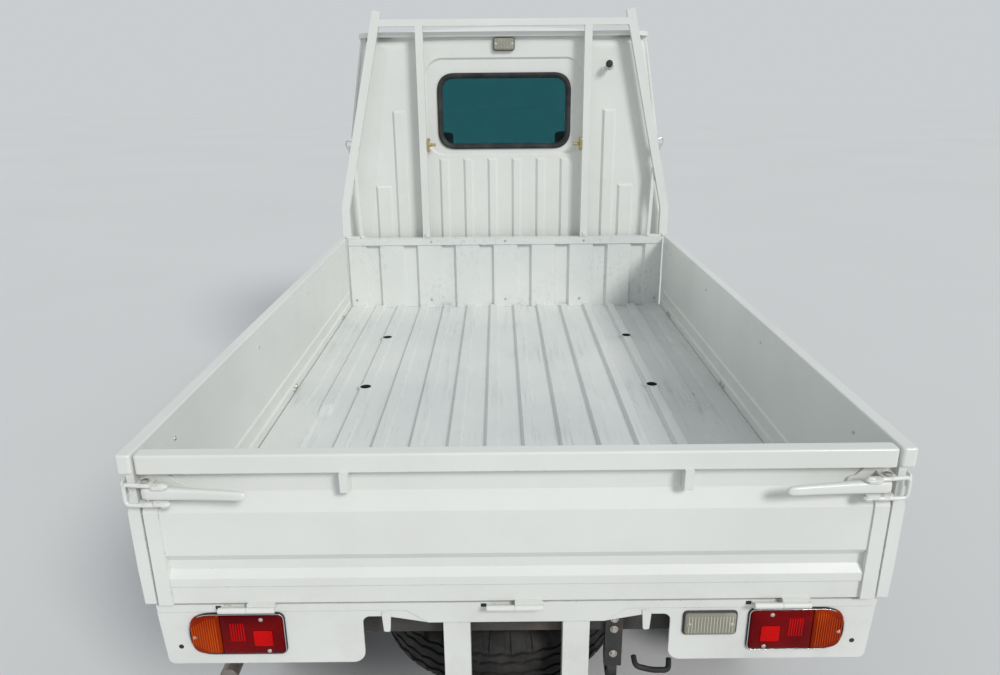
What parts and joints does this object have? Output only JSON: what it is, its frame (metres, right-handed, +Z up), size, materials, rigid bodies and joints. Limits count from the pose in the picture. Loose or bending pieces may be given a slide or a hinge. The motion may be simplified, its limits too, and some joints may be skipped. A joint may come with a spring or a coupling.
{
  "type": "kei class flatbed truck",
  "caption": "Small cab-over flatbed truck with drop sides and tailgate, ribbed bed floor, guard frame behind the cab, steered front wheels and opening doors.",
  "frame": {"origin": "on the ground below the middle of the truck's bounding box", "axes": "+Z up, front of the truck towards -Y, truck's left side towards +X"},
  "size_m": [1.636, 3.2851, 1.8218],
  "materials": {
    "white_paint": "gloss",
    "cab_floor_paint": "satin",
    "chassis_black": "matte",
    "engine_metal": "matte",
    "exhaust_steel": "matte",
    "wheel_silver": "satin",
    "tyre_rubber": "matte",
    "black_rubber": "matte",
    "black_plastic": "matte",
    "dark_plastic": "matte",
    "grey_plastic": "matte",
    "seat_vinyl": "satin",
    "clear_glass": "gloss",
    "lamp_clear": "gloss",
    "lamp_red": "gloss"
  },
  "bodies": {
    "chassis": {"frame_rails": "chassis_black", "front_suspension": "chassis_black", "rear_axle": "chassis_black", "leaf_springs": "chassis_black", "propshaft": "chassis_black", "engine_block": "engine_metal", "fuel_tank": "chassis_black", "exhaust": "exhaust_steel", "battery_box": "black_plastic", "cab_floor": "cab_floor_paint", "cab_front_panel": "white_paint", "cab_roof": "white_paint", "cab_back_panel": "white_paint", "cab_sides": "white_paint", "windscreen": "clear_glass", "rear_window": "clear_glass", "rear_window_seal": "black_rubber", "dashboard": "dark_plastic", "seats": "seat_vinyl", "cab_controls": "dark_plastic", "front_bumper": "grey_plastic", "headlamps": "lamp_clear", "wipers": "black_plastic", "bed_floor": "white_paint", "tail_panel": "white_paint", "headboard": "white_paint", "guard_frame": "white_paint", "tail_lamps": "lamp_red", "clear_lamps": "lamp_clear", "rear_stays": "white_paint", "tow_hooks": "chassis_black", "mud_guards": "black_rubber", "spare_tyre": "tyre_rubber", "spare_rim": "wheel_silver"},
    "door_left": {"door_left": "white_paint", "door_left_glass": "clear_glass", "mirror_left": "black_plastic"},
    "door_right": {"door_right": "white_paint", "door_right_glass": "clear_glass", "mirror_right": "black_plastic"},
    "side_gate_left": {"side_gate_left": "white_paint"},
    "side_gate_right": {"side_gate_right": "white_paint"},
    "tailgate": {"tailgate": "white_paint", "tailgate_latches": "white_paint"},
    "knuckle_left": {"knuckle_left": "chassis_black"},
    "knuckle_right": {"knuckle_right": "chassis_black"},
    "wheel_front_left": {"tyre_front_left": "tyre_rubber", "rim_front_left": "wheel_silver"},
    "wheel_front_right": {"tyre_front_right": "tyre_rubber", "rim_front_right": "wheel_silver"},
    "wheel_rear_left": {"tyre_rear_left": "tyre_rubber", "rim_rear_left": "wheel_silver"},
    "wheel_rear_right": {"tyre_rear_right": "tyre_rubber", "rim_rear_right": "wheel_silver"},
    "steering_wheel": {"steering_wheel": "dark_plastic"}
  },
  "joints": [
    {"name": "door_left_hinge", "type": "hinge", "parent": "chassis", "child": "door_left", "pos_m": [0.697, -1.4955, 0.9], "axis": [0, 0, -1], "range_deg": [0, 62]},
    {"name": "door_right_hinge", "type": "hinge", "parent": "chassis", "child": "door_right", "pos_m": [-0.697, -1.4955, 0.9], "axis": [0, 0, 1], "range_deg": [0, 62]},
    {"name": "side_gate_left_hinge", "type": "hinge", "parent": "chassis", "child": "side_gate_left", "pos_m": [0.69, 0.6, 0.6195], "axis": [0, 1, 0], "range_deg": [0, 170]},
    {"name": "side_gate_right_hinge", "type": "hinge", "parent": "chassis", "child": "side_gate_right", "pos_m": [-0.69, 0.6, 0.6195], "axis": [0, -1, 0], "range_deg": [0, 170]},
    {"name": "tailgate_hinge", "type": "hinge", "parent": "chassis", "child": "tailgate", "pos_m": [0, 1.6115, 0.6195], "axis": [-1, 0, 0], "range_deg": [0, 170]},
    {"name": "steer_left", "type": "hinge", "parent": "chassis", "child": "knuckle_left", "pos_m": [0.52, -0.9825, 0.27], "axis": [0, 0, 1], "range_deg": [-34, 34]},
    {"name": "steer_right", "type": "hinge", "parent": "chassis", "child": "knuckle_right", "pos_m": [-0.52, -0.9825, 0.27], "axis": [0, 0, 1], "range_deg": [-34, 34]},
    {"name": "steering_wheel_turn", "type": "hinge", "parent": "chassis", "child": "steering_wheel", "pos_m": [-0.32, -1.2355, 1.01], "axis": [0, 0.6157, 0.788], "range_deg": [-515, 515]},
    {"name": "wheel_front_left_spin", "type": "hinge", "parent": "knuckle_left", "child": "wheel_front_left", "pos_m": [0.6025, -0.9825, 0.27], "axis": [1, 0, 0], "range_deg": [-360, 360]},
    {"name": "wheel_front_right_spin", "type": "hinge", "parent": "knuckle_right", "child": "wheel_front_right", "pos_m": [-0.6025, -0.9825, 0.27], "axis": [1, 0, 0], "range_deg": [-360, 360]},
    {"name": "wheel_rear_left_spin", "type": "hinge", "parent": "chassis", "child": "wheel_rear_left", "pos_m": [0.6025, 0.9025, 0.27], "axis": [1, 0, 0], "range_deg": [-360, 360]},
    {"name": "wheel_rear_right_spin", "type": "hinge", "parent": "chassis", "child": "wheel_rear_right", "pos_m": [-0.6025, 0.9025, 0.27], "axis": [1, 0, 0], "range_deg": [-360, 360]}
  ],
  "couplings": [
    {"joint": "steer_right", "follows": "steer_left", "ratio": 1},
    {"joint": "steering_wheel_turn", "follows": "steer_left", "ratio": 15}
  ]
}
